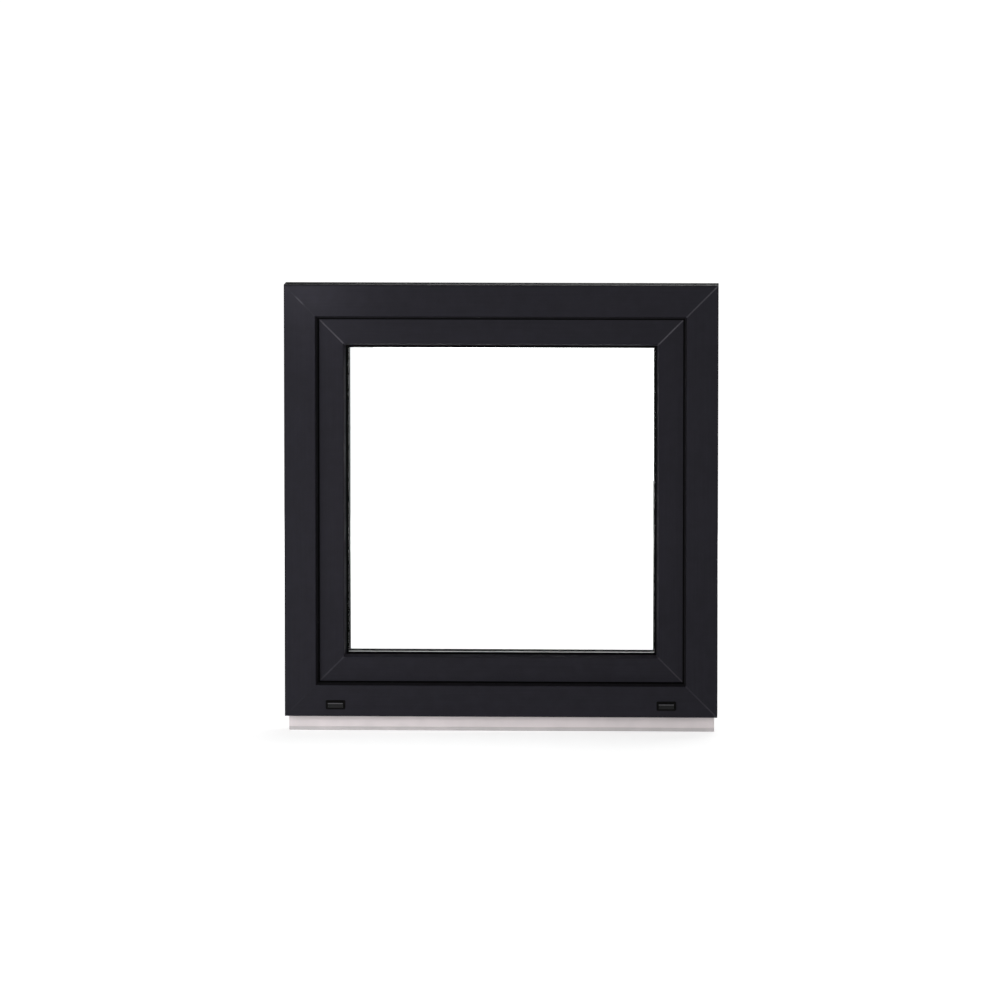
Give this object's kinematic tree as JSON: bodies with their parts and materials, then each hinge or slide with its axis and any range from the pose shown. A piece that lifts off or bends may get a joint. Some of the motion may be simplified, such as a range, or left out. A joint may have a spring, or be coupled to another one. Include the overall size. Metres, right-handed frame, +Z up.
{
  "type": "tilt and turn window",
  "caption": "Square tilt and turn window with a mitred dark plastic frame and sash, sealed glazing, drainage caps, a room-side lever handle and a sill profile.",
  "frame": {"origin": "centre of the underside of the sill profile, in the middle of the window's width and of the frame's 70 mm depth", "axes": "+X to the right as the window is seen from outdoors, +Y from outdoors into the room, +Z up"},
  "size_m": [0.8, 0.1475, 0.83],
  "materials": {
    "foiled_profile": "anthracite grey foil with a fine grain on extruded plastic, both sides",
    "seal_rubber": "black extruded seal, matt",
    "spacer_metal": "mill-finish spacer bar",
    "clear_glass": "clear float glass",
    "sill_plastic": "pale grey extruded plastic, smooth",
    "cap_plastic": "black moulded plastic, semi-gloss",
    "handle_metal": "satin silver anodised",
    "hinge_finish": "silver-grey hinge covers"
  },
  "bodies": {
    "root": {"drain_cap_left": "cap_plastic", "drain_cap_right": "cap_plastic", "frame_bottom": "foiled_profile", "frame_left": "foiled_profile", "frame_right": "foiled_profile", "frame_top": "foiled_profile", "glass_spacer_bottom": "spacer_metal", "glass_spacer_left": "spacer_metal", "glass_spacer_right": "spacer_metal", "glass_spacer_top": "spacer_metal", "glazing_bead_bottom": "foiled_profile", "glazing_bead_left": "foiled_profile", "glazing_bead_right": "foiled_profile", "glazing_bead_top": "foiled_profile", "handle_lever": "handle_metal", "handle_rose": "handle_metal", "inner_glass_pane": "clear_glass", "inner_glazing_gasket_bottom": "seal_rubber", "inner_glazing_gasket_left": "seal_rubber", "inner_glazing_gasket_right": "seal_rubber", "inner_glazing_gasket_top": "seal_rubber", "lower_frame_hinge": "hinge_finish", "lower_sash_hinge": "hinge_finish", "outer_glass_pane": "clear_glass", "outer_glazing_gasket_bottom": "seal_rubber", "outer_glazing_gasket_left": "seal_rubber", "outer_glazing_gasket_right": "seal_rubber", "outer_glazing_gasket_top": "seal_rubber", "overlap_seal_bottom": "seal_rubber", "overlap_seal_left": "seal_rubber", "overlap_seal_right": "seal_rubber", "overlap_seal_top": "seal_rubber", "sash_bottom": "foiled_profile", "sash_left": "foiled_profile", "sash_right": "foiled_profile", "sash_top": "foiled_profile", "sill_profile": "sill_plastic", "stop_seal_bottom": "seal_rubber", "stop_seal_left": "seal_rubber", "stop_seal_right": "seal_rubber", "stop_seal_top": "seal_rubber", "upper_frame_hinge": "hinge_finish", "upper_sash_hinge": "hinge_finish"}
  },
  "joints": []
}
